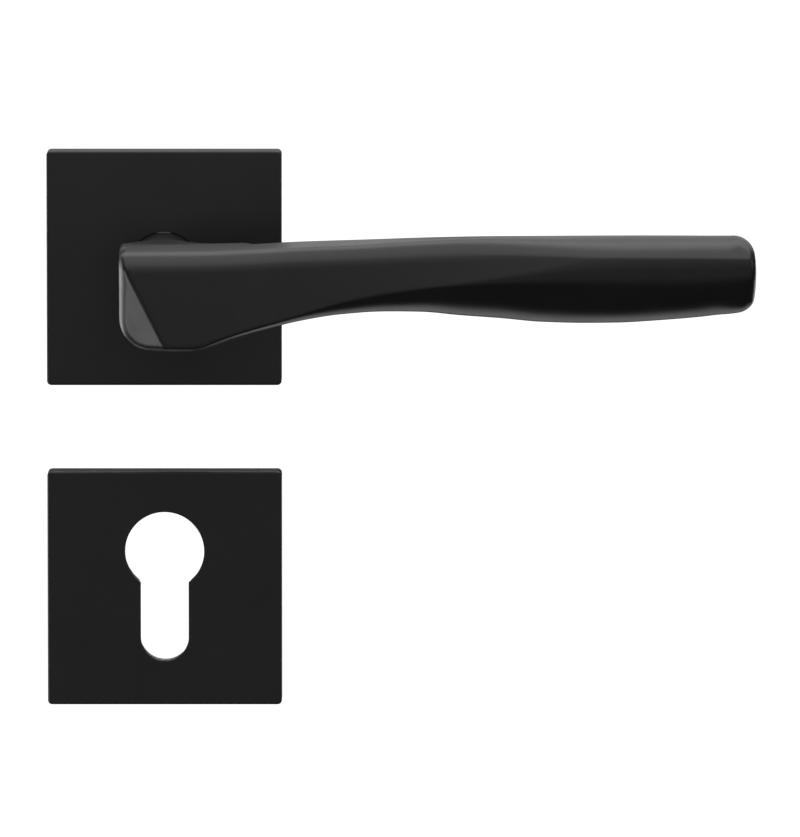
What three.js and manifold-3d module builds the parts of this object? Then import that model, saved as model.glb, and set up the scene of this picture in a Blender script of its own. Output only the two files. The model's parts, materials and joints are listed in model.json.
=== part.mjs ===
// Square-rose door lever set, one side of a door, in millimetres.
// The pieces are drawn as the user sees them: x to the right, y up, z out of the door.
// The last group turns the drawing so that +Z is up and the door face is the plane Y = 0.
// The origin is where the spindle's axis meets the door face.

import * as THREE from 'three';
import { mergeVertices } from 'three/addons/utils/BufferGeometryUtils.js';
import Module from 'manifold-3d';

const wasm = await Module();
wasm.setup();

// Driving dimensions

// Plates: both roses are the same square cover over the same square base.
const plateSide = 52;
const plateDepth = 8;
const coverWall = 1.5;
const coverCorner = 1;
const coverEdge = 0.4;
const coverRimGap = 0.2;
const coverFloorGap = 0.6;
const plateGap = 0.3;
const cylinderSpacing = 63;
const cylinderAboveCentre = 8.2;

// Euro-profile opening
const profileRadius = 8.75;
const profileSlotWidth = 10.6;
const profileHeight = 33.2;
const profileBaseGap = 0.4;

// Lever
const leverReach = 129.8;
const leverFront = 52;
const headBottom = -14.8;
const headCornerLow = 7.5;
const headCornerTop = 1.3;
const headBack = 40.5;
const facetInset = [0.6, 2.7];
const facetFootX = 1;
const facetSlope = 0.6;
const neckShoulder = 1.93;
const neckStraight = 23;
const neckTuck = 0.55;
const flareRight = 7;

// Heights along the lever, as [x, y]: rise of the top line over the head, lower line and front ridge
const topRise = [[7, 0], [27, 0], [61, 0.9], [95, 1.1], [124, 1.2]];
const lowLine = [[7, -14.8], [11, -13.9], [15.2, -12.2], [24, -9.8], [32, -7.9], [48, -6.3],
  [65, -7.4], [83, -9], [94, -9.3], [109, -8.7], [130, -6.2]];
const ridgeLine = [[26, -7.6], [48, -1.8], [65.5, 0.3], [83, 1.6], [100, 3.3], [130, 4.8]];

// Depths along the lever, as [x, z]
const lowEdgeDepth = [[26, 51.1], [48, 48.6], [66, 46], [90, 44.2], [130, 44]];
const topEdgeDepth = [[30, 51.8], [60, 51.2], [90, 49.5], [130, 47.5]];
const backDepth = [[12, 40.5], [40, 40.3], [70, 38.8], [100, 38], [130, 38.6]];

// Bearing, spring and stops
const journalWall = 1.2;
const journalEnd = -2;
const runGap = 0.15;
const bushWall = 1;
const bushFlangeOverlap = 0.2;
const bushFlange = 0.7;
const rearRecess = 1.2;
const rearRecessRim = 3.1;
const baseWeb = 1.2;
const washerThickness = 0.6;
const ringThickness = 0.7;
const ringWidth = 2;
const ringDepth = 0.8;
const ringEar = 1.3;
const ringEarAngle = 17;
const driverRim = 1.93;
const tabReach = 2.3;
const tabWidth = 4;
const dogWidth = 3;
const dogHeight = 1.5;
const dogAngles = [90, 270];
const leverTurn = 45;
const springWire = 1.2;
const springGap = 1.3;
const springTurns = 1.6;
const springLegOut = 2.4;
const springPocketGap = 0.8;

// Fixings
const spindleSide = 8;
const spindleLength = 110;
const spindleDepth = 34;
const spindleEdge = 0.5;
const spindleEnd = 0.8;
const socketGap = 0.15;
const grubRadius = 2.5;
const grubHeight = 14;
const boltCentres = 38;
const boltRadius = 2;
const boltTip = -38;
const boltHead = 3.7;
const lugRadius = 4;
const lugLength = 6;
const sleeveRadius = 3.4;
const sleeveLength = 29;
const sleeveFloor = 4;
const screwRadius = 1.7;
const screwHead = 3.4;
const screwTip = -16;
const headSink = 0.9;
const holeGap = 0.2;
const clipWidth = 8;
const clipStrip = 0.4;
const clipOffset = 12;

// Sizes that follow from those
const baseSide = plateSide - 2 * coverWall - 2 * plateGap;
const baseDepth = plateDepth - coverWall - coverFloorGap;
const pocketFloor = rearRecess + baseWeb;
const socketHalf = spindleSide / 2 + socketGap;
const journalRadius = Math.SQRT2 * socketHalf + journalWall;
const neckRadius = journalRadius + neckShoulder;
const neckBack = plateDepth - coverWall - neckTuck;
const headLeft = -neckRadius;
const headTop = neckRadius;
const rearRecessRadius = journalRadius + rearRecessRim;
const driverRadius = journalRadius + driverRim;
const bushFlangeRadius = driverRadius + bushFlangeOverlap;
const tabRadius = driverRadius + tabReach;
const springRadius = tabRadius + springGap + springWire / 2;
const springPocketRadius = springRadius + springWire / 2 + springPocketGap;
const springLegEnd = springPocketRadius + springLegOut;
const escutcheonCentre = -cylinderSpacing - cylinderAboveCentre;
const boltSide = boltCentres / 2;

// Finishes
const black = finish('satin_black', 0x1b1b1c, 0.42, 0.6);
const zinc = finish('zinc', 0x9a9c9e, 0.45, 0.9);
const steel = finish('steel', 0xb4b6b8, 0.35, 1);
const spring = finish('spring_steel', 0x6f7276, 0.35, 1);
const nylon = finish('nylon', 0xe6e4dc, 0.55, 0);

function finish(name, color, roughness, metalness) {
  return { name, color, roughness, metalness };
}

// Solids

function toSolid(geometry) {
  const bare = geometry.clone();
  bare.deleteAttribute('normal');
  bare.deleteAttribute('uv');
  const merged = mergeVertices(bare, 1e-4);
  const vertProperties = new Float32Array(merged.attributes.position.array);
  const triVerts = new Uint32Array(merged.index.array);
  return new wasm.Manifold(new wasm.Mesh({ numProp: 3, vertProperties, triVerts }));
}

function toGeometry(solid) {
  const mesh = solid.getMesh();
  const geometry = new THREE.BufferGeometry();
  geometry.setAttribute('position', new THREE.BufferAttribute(mesh.vertProperties, 3));
  geometry.setIndex(new THREE.BufferAttribute(mesh.triVerts, 1));
  geometry.computeVertexNormals();
  return geometry;
}

function cut(body, ...tools) {
  return tools.reduce((left, tool) => left.subtract(tool), body);
}

function join(body, ...more) {
  return more.reduce((sum, next) => sum.add(next), body);
}

function box(x0, x1, y0, y1, z0, z1) {
  const geometry = new THREE.BoxGeometry(x1 - x0, y1 - y0, z1 - z0);
  geometry.translate((x0 + x1) / 2, (y0 + y1) / 2, (z0 + z1) / 2);
  return toSolid(geometry);
}

function rod(radius, z0, z1, sides = 32) {
  const geometry = new THREE.CylinderGeometry(radius, radius, z1 - z0, sides);
  geometry.rotateX(Math.PI / 2);
  geometry.translate(0, 0, (z0 + z1) / 2);
  return toSolid(geometry);
}

// A turned piece: the profile is [radius, z] from one end of the axis to the other.
function turned(profile, sides = 16) {
  const points = profile.map(([r, z]) => new THREE.Vector2(r, z));
  const geometry = new THREE.LatheGeometry(points, sides);
  geometry.rotateX(Math.PI / 2);
  return toSolid(geometry);
}

function extruded(shape, z0, z1, curveSegments = 6) {
  const options = { depth: z1 - z0, bevelEnabled: false, curveSegments };
  const geometry = new THREE.ExtrudeGeometry(shape, options);
  geometry.translate(0, 0, z0);
  return toSolid(geometry);
}

function roundedSquare(side, radius) {
  const half = side / 2;
  const shape = new THREE.Shape();
  shape.moveTo(-half + radius, -half);
  shape.absarc(half - radius, -half + radius, radius, -Math.PI / 2, 0);
  shape.absarc(half - radius, half - radius, radius, 0, Math.PI / 2);
  shape.absarc(-half + radius, half - radius, radius, Math.PI / 2, Math.PI);
  shape.absarc(-half + radius, -half + radius, radius, Math.PI, 1.5 * Math.PI);
  return shape;
}

// The euro profile, grown by the clearance; its round part is centred on (0, 0).
function profileShape(clearance) {
  const radius = profileRadius + clearance;
  const half = profileSlotWidth / 2 + clearance;
  const meet = Math.asin(half / radius);
  const foot = profileRadius - profileHeight - clearance + half;
  const shape = new THREE.Shape();
  shape.absarc(0, 0, radius, -Math.PI / 2 + meet, 1.5 * Math.PI - meet);
  shape.absarc(0, foot, half, Math.PI, 2 * Math.PI);
  return shape;
}

function turnedBy(solid, degrees) {
  return solid.rotate([0, 0, degrees]);
}

// A smooth height through the points [x, value] that never overshoots them
function along(points, x) {
  const last = points.length - 1;
  if (x <= points[0][0]) return points[0][1];
  if (x >= points[last][0]) return points[last][1];
  const slopes = points.slice(1).map(([px, py], i) => (py - points[i][1]) / (px - points[i][0]));
  const tangents = points.map((_, i) => tangentAt(slopes, i, last));
  const i = points.findIndex(([px]) => px > x) - 1;
  const width = points[i + 1][0] - points[i][0];
  const t = (x - points[i][0]) / width;
  const from = (1 + 2 * t) * (1 - t) ** 2 * points[i][1];
  const to = t ** 2 * (3 - 2 * t) * points[i + 1][1];
  return from + to + t * (1 - t) * width * ((1 - t) * tangents[i] - t * tangents[i + 1]);
}

function tangentAt(slopes, i, last) {
  if (i === 0 || i === last) return 0;
  if (slopes[i - 1] * slopes[i] <= 0) return 0;
  return (2 * slopes[i - 1] * slopes[i]) / (slopes[i - 1] + slopes[i]);
}

// Rings of points, one after another, joined into a closed skin with flat ends
function loft(rings) {
  const count = rings[0].length;
  const position = rings.flat().flatMap((p) => [p.x, p.y, p.z]);
  const index = [];
  for (let r = 0; r < rings.length - 1; r += 1) {
    for (let i = 0; i < count; i += 1) {
      const a = r * count + i;
      const b = r * count + ((i + 1) % count);
      index.push(a, b, a + count, b, b + count, a + count);
    }
  }
  [rings[0], rings[rings.length - 1]].forEach((ring, end) => {
    const centre = ring.reduce((sum, p) => sum.add(p), new THREE.Vector3()).divideScalar(count);
    const hub = position.length / 3;
    position.push(centre.x, centre.y, centre.z);
    const first = end === 0 ? 0 : (rings.length - 1) * count;
    for (let i = 0; i < count; i += 1) {
      const a = first + i;
      const b = first + ((i + 1) % count);
      index.push(hub, end === 0 ? b : a, end === 0 ? a : b);
    }
  });
  const geometry = new THREE.BufferGeometry();
  geometry.setAttribute('position', new THREE.Float32BufferAttribute(position, 3));
  geometry.setIndex(index);
  return toSolid(geometry);
}

// A closed outline of corners {a, b, r}, each rounded by an arc of the given steps
function roundedOutline(corners, steps) {
  const points = [];
  corners.forEach((corner, i) => {
    const before = corners[(i + corners.length - 1) % corners.length];
    const after = corners[(i + 1) % corners.length];
    const here = new THREE.Vector2(corner.a, corner.b);
    const back = new THREE.Vector2(before.a, before.b).sub(here);
    const ahead = new THREE.Vector2(after.a, after.b).sub(here);
    const half = back.angleTo(ahead) / 2;
    const room = 0.45 * Math.min(back.length(), ahead.length());
    const reach = Math.min(corner.r / Math.tan(half), room);
    const start = here.clone().addScaledVector(back.normalize(), reach);
    const end = here.clone().addScaledVector(ahead.normalize(), reach);
    for (let s = 0; s <= steps; s += 1) {
      const t = s / steps;
      const weight = Math.sin(half);
      const w0 = (1 - t) ** 2;
      const w1 = 2 * weight * t * (1 - t);
      const w2 = t ** 2;
      const sum = w0 + w1 + w2;
      points.push([
        (w0 * start.x + w1 * here.x + w2 * end.x) / sum,
        (w0 * start.y + w1 * here.y + w2 * end.y) / sum,
      ]);
    }
  });
  return points;
}

// Lever handle

function topAt(x) {
  const start = headLeft + headCornerTop;
  if (x >= start) return headTop + along(topRise, x);
  return headTop - headCornerTop + Math.sqrt(Math.max(0, headCornerTop ** 2 - (start - x) ** 2));
}

function lowAt(x) {
  const start = headLeft + headCornerLow;
  if (x >= start) return along(lowLine, x);
  return headBottom + headCornerLow - Math.sqrt(Math.max(0, headCornerLow ** 2 - (start - x) ** 2));
}

// How far the tip's end has drawn in at x, from 0 on the grip to 1 at the very end
function tipShare(x) {
  const start = leverReach - 4;
  return x <= start ? 0 : 1 - Math.sqrt(Math.max(0, 1 - ((x - start) / (leverReach - start)) ** 2));
}

function leverSection(x) {
  const tip = tipShare(x);
  const top = topAt(x) - 4 * tip;
  const low = lowAt(x) + 2.7 * tip;
  const ridge = Math.max(along(ridgeLine, x), low + 0.9);
  const front = leverFront - 3.5 * tip;
  const lowEdge = Math.min(along(lowEdgeDepth, x), front - 0.9);
  const topEdge = Math.min(along(topEdgeDepth, x), front - 0.2);
  const back = along(backDepth, x) + 3.5 * tip;
  const grip = THREE.MathUtils.smoothstep(x, 20, 80);
  const corners = [
    { a: front, b: Math.min(ridge, top - 3), r: 0.4 + 2.5 * grip },
    { a: topEdge, b: top, r: 4.4 },
    { a: back, b: top - 0.8 * grip, r: 2 + 2.5 * grip },
    { a: back, b: low + 0.8 * grip, r: 2 + 2.5 * grip },
    { a: lowEdge, b: low, r: 0.4 + 2 * grip },
  ];
  return roundedOutline(corners.reverse(), 3).map(([z, y]) => new THREE.Vector3(x, y, z));
}

function leverArm() {
  const stations = [0, 0.12, 0.4, 1, 2, 3.6, 5.5, 7.7, 12, 16].map((step) => headLeft + step);
  for (let x = 11; x < leverReach - 6; x += 4.6) stations.push(x);
  [5, 4, 2.5, 1.2, 0.4, 0.05].forEach((step) => stations.push(leverReach - step));
  return loft(stations.map(leverSection));
}

// The triangular facet at the head's outer corner, cut by a plane through its upper edge line
function facetCutter() {
  const size = 60;
  const start = new THREE.Vector3(headLeft + facetInset[0], headTop - facetInset[1], leverFront);
  const edge = new THREE.Vector3(facetFootX - start.x, headBottom - start.y, 0).normalize();
  const across = new THREE.Vector3(edge.y, -edge.x, -facetSlope).normalize();
  const out = new THREE.Vector3().crossVectors(across, edge).normalize();
  const geometry = new THREE.BoxGeometry(size, size, size);
  geometry.translate(size / 2, 0, size / 2);
  geometry.applyMatrix4(new THREE.Matrix4().makeBasis(across, edge, out));
  geometry.translate(start.x, start.y, start.z);
  return toSolid(geometry);
}

// The neck grows out of its round stretch into the elbow behind the head.
function leverNeck() {
  const rings = [];
  const depths = [neckBack, neckStraight];
  for (let step = 1; step <= 6; step += 1) {
    depths.push(neckStraight + (headBack + 3 - neckStraight) * (step / 6));
  }
  const sides = 36;
  depths.forEach((z) => {
    const share = THREE.MathUtils.clamp((z - neckStraight) / (headBack - neckStraight), 0, 1);
    const grow = 1 - Math.sqrt(1 - (0.96 * share) ** 2);
    const right = neckRadius + grow * flareRight;
    const low = -neckRadius + grow * (headBottom + neckRadius + 0.6);
    const ring = [];
    for (let i = 0; i < sides; i += 1) {
      const angle = (2 * Math.PI * i) / sides;
      const c = Math.cos(angle);
      const s = Math.sin(angle);
      const x = c > 0 ? right * c : neckRadius * c;
      const y = s > 0 ? neckRadius * s : -low * s;
      ring.push(new THREE.Vector3(x, y, z));
    }
    rings.push(ring);
  });
  return loft(rings);
}

function leverHandle() {
  const journal = rod(journalRadius, journalEnd, neckBack + 1);
  const shape = cut(leverArm(), facetCutter());
  const socket = box(-socketHalf, socketHalf, -socketHalf, socketHalf, journalEnd - 1, spindleDepth + 1);
  const screwHole = belowSpindle(rod(grubRadius + runGap, 0, neckRadius + 1, 24));
  const body = join(shape, leverNeck(), journal);
  return cut(body, socket, screwHole, ringGroove(), ...dogSlots());
}

// A piece drawn up the spindle's axis, laid over so that it points down out of the neck
function belowSpindle(solid) {
  return solid.rotate([90, 0, 0]).translate([0, 0, grubHeight]);
}

function ringGroove() {
  const bottom = ringTop() - ringThickness - 0.1;
  const groove = rod(journalRadius + 1, bottom, ringTop() + 0.1);
  return cut(groove, rod(journalRadius - ringDepth, bottom - 1, ringTop() + 1));
}

function ringTop() {
  return rearRecess - runGap - washerThickness - 2 * runGap;
}

function dogSlots() {
  const half = dogWidth / 2 + runGap;
  const top = neckBack + dogHeight + runGap;
  const slot = box(journalRadius, neckRadius + 1, -half, half, neckBack - 1, top);
  return dogAngles.map((angle) => turnedBy(slot, angle));
}

// Pieces that turn with the lever

function springDriver() {
  const bottom = pocketFloor + runGap + bushFlange + runGap;
  const top = neckBack - runGap;
  const disc = rod(driverRadius, bottom, top);
  const bore = rod(journalRadius + runGap, bottom - 1, top + dogHeight + 1);
  const half = tabWidth / 2;
  const stopTab = turnedBy(box(driverRadius - 1, tabRadius, -half, half, bottom, top), 180);
  const springTab = box(driverRadius - 1, tabRadius, -half, half, bottom, top);
  const notchHalf = springWire / 2 + holeGap;
  const notch = box(driverRadius + 0.4, tabRadius + 1, -notchHalf, notchHalf, bottom - 1, top + 1);
  const dogHalf = dogWidth / 2;
  const dog = box(journalRadius + 0.5, neckRadius - 0.3, -dogHalf, dogHalf, top - 0.5, neckBack + dogHeight);
  const dogs = dogAngles.map((angle) => turnedBy(dog, angle));
  return cut(join(disc, stopTab, springTab, ...dogs), bore, notch);
}

function retainingRing() {
  const top = ringTop();
  const inner = journalRadius - ringDepth + runGap;
  const hoop = rod(inner + ringWidth, top - ringThickness, top);
  const outer = inner + ringWidth;
  const atEar = (solid, side) => turnedBy(solid.translate([outer, 0, 0]), 90 + side * ringEarAngle);
  const ears = [-1, 1].map((side) => atEar(rod(ringEar, top - ringThickness, top, 20), side));
  const holes = [-1, 1].map((side) => atEar(rod(ringEar / 2, -9, 9, 12), side));
  const gap = box(-1.2, 1.2, 0, inner + ringWidth + 3, -9, 9);
  return cut(join(hoop, ...ears), rod(inner, -9, 9), gap, ...holes);
}

function spindle() {
  const half = spindleSide / 2;
  const shape = new THREE.Shape();
  const edge = spindleEdge;
  shape.moveTo(-half + edge, -half);
  shape.lineTo(half - edge, -half);
  shape.lineTo(half, -half + edge);
  shape.lineTo(half, half - edge);
  shape.lineTo(half - edge, half);
  shape.lineTo(-half + edge, half);
  shape.lineTo(-half, half - edge);
  shape.lineTo(-half, -half + edge);
  const bevel = { bevelThickness: spindleEnd, bevelSize: spindleEnd, bevelOffset: -spindleEnd };
  const depth = spindleLength - 2 * spindleEnd;
  const geometry = new THREE.ExtrudeGeometry(shape, { depth, bevelSegments: 1, ...bevel });
  geometry.translate(0, 0, spindleDepth - spindleLength + spindleEnd);
  return toSolid(geometry);
}

// A headless set screw with a hexagon socket, below the spindle
function grubScrew() {
  const inner = socketHalf + runGap;
  const outer = neckRadius - 0.9;
  const edge = 0.4;
  const profile = [[0, inner], [grubRadius - 0.8, inner], [grubRadius, inner + 0.8],
    [grubRadius, outer - edge], [grubRadius - edge, outer], [0, outer]];
  const hexagon = rod(1.4, outer - 1.8, outer + 1, 6);
  return belowSpindle(cut(turned(profile, 24), hexagon));
}

// Bearing and spring, fixed in the rose

function bearingBush() {
  const inner = journalRadius + runGap;
  const outer = inner + bushWall;
  const floor = pocketFloor + runGap;
  const tube = rod(outer, rearRecess, floor + bushFlange);
  const flange = rod(bushFlangeRadius, floor, floor + bushFlange);
  return cut(join(tube, flange), rod(inner, 0, 9));
}

function thrustWasher() {
  const top = rearRecess - runGap;
  return cut(rod(rearRecessRadius - 0.4, top - washerThickness, top), rod(journalRadius + runGap, -9, 9));
}

function returnSpring() {
  const low = pocketFloor + springWire / 2 + 0.1;
  const high = neckBack - springWire / 2 - 0.15;
  const whole = 2 * Math.PI * springTurns;
  const bend = 0.11;
  const at = (radius, angle, z) => new THREE.Vector3(radius * Math.cos(angle), radius * Math.sin(angle), z);
  const points = [at(springLegEnd, whole, low), at(springRadius + 1, whole, low)];
  const steps = 48;
  for (let i = 0; i <= steps; i += 1) {
    const t = i / steps;
    points.push(at(springRadius, whole - bend - (whole - 2 * bend) * t, low + (high - low) * t));
  }
  points.push(at(springRadius - 1, 0, high), at(driverRadius + 1.4, 0, high));
  const section = new THREE.Shape().absarc(0, 0, springWire / 2, 0, 2 * Math.PI);
  const extrudePath = new THREE.CatmullRomCurve3(points);
  const options = { steps: 72, curveSegments: 3, bevelEnabled: false, extrudePath };
  return toSolid(new THREE.ExtrudeGeometry(section, options));
}

// Screws: a countersunk head, a shank and a tip along the axis, and the same form grown as their hole

function countersunk(head, radius, top, tip, point, grow = 0) {
  const headEdge = top - 0.4 - grow;
  const neck = headEdge - (head - radius);
  return turned([[0, tip - grow], [radius * 0.3 + grow, tip - grow], [radius + grow, tip + point],
    [radius + grow, neck], [head + grow, headEdge], [head + grow, top], [0, top]]);
}

function crossRecess(top, reach) {
  const arm = (angle) => turnedBy(box(-reach, reach, -0.4, 0.4, top - 1.3, top + 1), angle);
  return join(arm(0), arm(90));
}

function throughBolt() {
  const top = baseDepth - headSink;
  return cut(countersunk(boltHead, boltRadius, top, boltTip, 0.6), crossRecess(top, 1.9));
}

function woodScrew() {
  const top = baseDepth - headSink;
  return cut(countersunk(screwHead, screwRadius, top, screwTip, 4.5), crossRecess(top, 1.7));
}

function screwHole(head, radius, x, y) {
  const grown = countersunk(head, radius, baseDepth - headSink, -lugLength - 2, 0, holeGap);
  const mouth = rod(head + holeGap, baseDepth - headSink - 0.4, baseDepth + 1, 16);
  return join(grown, mouth).translate([x, y, 0]);
}

function boltSleeve() {
  const mouth = boltTip + 22;
  const end = mouth - sleeveLength;
  const flange = 1.6;
  const outside = turned([[0, end], [sleeveRadius + 0.9, end], [sleeveRadius + 0.9, end + 0.6],
    [sleeveRadius, end + flange], [sleeveRadius, mouth - 0.3], [sleeveRadius - 0.3, mouth], [0, mouth]]);
  const slot = box(-9, 9, -0.5, 0.5, end - 1, end + 1);
  return cut(outside, rod(boltRadius + holeGap, end + sleeveFloor, mouth + 1, 16), slot);
}

// Covers and bases

function coverShell(opening) {
  const depth = plateDepth + 2;
  const bevel = { bevelThickness: coverEdge, bevelSize: coverEdge, bevelOffset: -coverEdge };
  const options = { depth: depth - 2 * coverEdge, bevelSegments: 2, curveSegments: 4, ...bevel };
  const geometry = new THREE.ExtrudeGeometry(roundedSquare(plateSide, coverCorner), options);
  geometry.translate(0, 0, plateDepth - depth + coverEdge);
  const inner = plateSide - 2 * coverWall;
  const hollow = box(-inner / 2, inner / 2, -inner / 2, inner / 2, -9, plateDepth - coverWall);
  const rim = box(-plateSide, plateSide, -plateSide, plateSide, -9, coverRimGap);
  return cut(toSolid(geometry), hollow, rim, opening);
}

function clipPlaces() {
  const edge = baseSide / 2;
  return [{ x: clipOffset, y: edge, turn: 0 }, { x: -clipOffset, y: -edge, turn: 180 }];
}

// A bowed leaf in a notch of the base's edge, which grips the cover's wall
function leafClip(place) {
  const half = clipWidth / 2;
  const low = 0.9;
  const high = baseDepth - 0.9;
  const middle = (low + high) / 2;
  const bow = plateGap - 0.15;
  const shape = new THREE.Shape();
  shape.moveTo(-1.2, low);
  shape.lineTo(bow, middle);
  shape.lineTo(-1.2, high);
  shape.lineTo(-1.2 - clipStrip, high);
  shape.lineTo(-clipStrip + bow, middle);
  shape.lineTo(-1.2 - clipStrip, low);
  const geometry = new THREE.ExtrudeGeometry(shape, { depth: clipWidth, bevelEnabled: false });
  geometry.applyMatrix4(new THREE.Matrix4().makeBasis(
    new THREE.Vector3(0, 1, 0), new THREE.Vector3(0, 0, 1), new THREE.Vector3(1, 0, 0)));
  geometry.translate(-half, 0, 0);
  return turnedBy(toSolid(geometry), place.turn).translate([place.x, place.y, 0]);
}

function clipNotch(place) {
  const half = clipWidth / 2 + 0.3;
  const depth = 1.2 + clipStrip + 0.3;
  const notch = box(-half, half, -depth, 1, 0.6, baseDepth + 1);
  return turnedBy(notch, place.turn).translate([place.x, place.y, 0]);
}

function blankBase() {
  const plate = extruded(roundedSquare(baseSide, coverCorner), 0, baseDepth, 3);
  return cut(plate, ...clipPlaces().map(clipNotch));
}

function roseBase() {
  const sides = [-1, 1];
  const lugs = sides.map((side) => rod(lugRadius, -lugLength, 1, 20).translate([side * boltSide, 0, 0]));
  const boltHoles = sides.map((side) => screwHole(boltHead, boltRadius, side * boltSide, 0));
  const screwHoles = sides.map((side) => screwHole(screwHead, screwRadius, 0, side * boltSide));
  const pocket = rod(springPocketRadius, pocketFloor, baseDepth + 1, 40);
  const bore = rod(journalRadius + runGap + bushWall + runGap, -1, baseDepth);
  const recess = rod(rearRecessRadius, -1, rearRecess);
  const legAngle = 360 * springTurns;
  const legHalf = springWire / 2 + holeGap;
  const legSlot = box(springPocketRadius - 1.2, springLegEnd + 0.5, -legHalf, legHalf + 1.6,
    pocketFloor, baseDepth + 1);
  const slot = turnedBy(legSlot, legAngle);
  const body = cut(join(blankBase(), ...lugs), pocket, recess, bore, slot, ...boltHoles, ...screwHoles);
  return join(body, ...turnStops());
}

// Two posts on the pocket's floor that the driver's tab meets at rest and at full turn
function turnStops() {
  const half = tabWidth / 2;
  const width = 2.4;
  const near = half + runGap;
  const post = (y0, y1) => box(driverRadius + 0.7, tabRadius, y0, y1, pocketFloor - 0.2, baseDepth - 0.3);
  const restPost = turnedBy(post(near, near + width), 180);
  const endPost = turnedBy(post(-near - width, -near), 180 - leverTurn);
  return [restPost, endPost];
}

function cylinderOpening(clearance) {
  return extruded(profileShape(clearance), -1, plateDepth + 1, 12).translate([0, cylinderAboveCentre, 0]);
}

function escutcheonBase() {
  const screws = [-1, 1].map((side) => screwHole(screwHead, screwRadius, side * boltSide, 0));
  const opening = cylinderOpening(profileBaseGap);
  return cut(blankBase(), opening, ...screws);
}

function roseCover() {
  return coverShell(rod(neckRadius + plateGap, 0, plateDepth + 1, 48));
}

function escutcheonCover() {
  return coverShell(cylinderOpening(0));
}

// Assembly

function piece(name, solid, look, x = 0, y = 0) {
  const mesh = new THREE.Mesh(toGeometry(solid), new THREE.MeshStandardMaterial(look));
  mesh.name = name;
  mesh.position.set(x, y, 0);
  return mesh;
}

function leverUnit() {
  const unit = new THREE.Group();
  unit.add(piece('lever_handle', leverHandle(), black));
  unit.add(piece('spring_driver', springDriver(), steel));
  unit.add(piece('retaining_ring', retainingRing(), spring));
  unit.add(piece('spindle', spindle(), zinc));
  unit.add(piece('spindle_grub_screw', grubScrew(), steel));
  return unit;
}

function roseUnit() {
  const unit = new THREE.Group();
  unit.add(piece('rose_cover', roseCover(), black));
  unit.add(piece('rose_base', roseBase(), zinc));
  unit.add(piece('bearing_bush', bearingBush(), nylon));
  unit.add(piece('thrust_washer', thrustWasher(), steel));
  unit.add(piece('return_spring', returnSpring(), spring));
  ['left', 'right'].forEach((side, i) => {
    const x = (2 * i - 1) * boltSide;
    unit.add(piece(`through_bolt_${side}`, throughBolt(), steel, x));
    unit.add(piece(`bolt_sleeve_${side}`, boltSleeve(), steel, x));
  });
  ['lower', 'upper'].forEach((side, i) => {
    unit.add(piece(`rose_screw_${side}`, woodScrew(), steel, 0, (2 * i - 1) * boltSide));
  });
  ['upper', 'lower'].forEach((side, i) => {
    unit.add(piece(`rose_clip_${side}`, leafClip(clipPlaces()[i]), spring));
  });
  return unit;
}

function escutcheonUnit() {
  const unit = new THREE.Group();
  unit.position.y = escutcheonCentre;
  unit.add(piece('escutcheon_cover', escutcheonCover(), black));
  unit.add(piece('escutcheon_base', escutcheonBase(), zinc));
  ['left', 'right'].forEach((side, i) => {
    unit.add(piece(`escutcheon_screw_${side}`, woodScrew(), steel, (2 * i - 1) * boltSide));
  });
  ['upper', 'lower'].forEach((side, i) => {
    unit.add(piece(`escutcheon_clip_${side}`, leafClip(clipPlaces()[i]), spring));
  });
  return unit;
}

const group = new THREE.Group();
group.rotation.x = Math.PI / 2;
group.add(leverUnit(), roseUnit(), escutcheonUnit());

export default group;
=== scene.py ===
"""Satin black door lever on a square rose, with a matching escutcheon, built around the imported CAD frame.

Lengths in the helper functions are millimetres in the user's view of the door: x to the right, y up, z out of
the door. place() turns them into the frame's metres, where +Z is up and the door face is the plane Y = 0.
"""

import json
import math

import bmesh
import bpy
import numpy as np
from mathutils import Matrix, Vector


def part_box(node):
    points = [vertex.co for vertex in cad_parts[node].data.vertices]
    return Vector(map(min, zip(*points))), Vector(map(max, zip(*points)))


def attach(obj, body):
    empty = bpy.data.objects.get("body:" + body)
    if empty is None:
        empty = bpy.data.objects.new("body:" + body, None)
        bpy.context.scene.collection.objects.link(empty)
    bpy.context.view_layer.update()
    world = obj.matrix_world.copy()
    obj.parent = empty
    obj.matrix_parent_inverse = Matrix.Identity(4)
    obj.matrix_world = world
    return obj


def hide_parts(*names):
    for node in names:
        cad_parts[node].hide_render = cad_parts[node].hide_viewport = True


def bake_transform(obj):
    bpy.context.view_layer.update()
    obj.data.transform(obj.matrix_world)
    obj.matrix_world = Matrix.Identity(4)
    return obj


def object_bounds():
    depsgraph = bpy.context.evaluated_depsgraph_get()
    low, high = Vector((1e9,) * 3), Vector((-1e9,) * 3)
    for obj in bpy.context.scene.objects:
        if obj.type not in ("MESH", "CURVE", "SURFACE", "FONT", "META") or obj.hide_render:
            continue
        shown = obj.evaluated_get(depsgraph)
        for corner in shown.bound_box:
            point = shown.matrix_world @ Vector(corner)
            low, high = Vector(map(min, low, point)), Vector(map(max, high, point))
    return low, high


MM = 0.001

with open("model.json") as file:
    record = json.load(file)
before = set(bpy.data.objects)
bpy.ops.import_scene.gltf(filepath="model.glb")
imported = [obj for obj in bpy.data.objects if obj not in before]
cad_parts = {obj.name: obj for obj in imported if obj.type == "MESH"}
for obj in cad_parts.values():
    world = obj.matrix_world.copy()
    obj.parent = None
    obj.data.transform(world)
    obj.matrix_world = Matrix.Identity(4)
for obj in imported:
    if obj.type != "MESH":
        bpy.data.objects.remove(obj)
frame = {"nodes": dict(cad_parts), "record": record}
cad_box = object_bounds()
scene = bpy.context.scene


# ---------------------------------------------------------------- sizes taken from the frame


def view_box(node):
    """A node's box as the user sees it, in mm: (x0, x1, y0, y1, z0, z1)."""
    low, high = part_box(node)
    return (low.x / MM, high.x / MM, low.z / MM, high.z / MM, -high.y / MM, -low.y / MM)


LEVER = view_box("lever_handle")
ROSE = view_box("rose_cover")
PLATE = view_box("escutcheon_cover")

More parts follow.
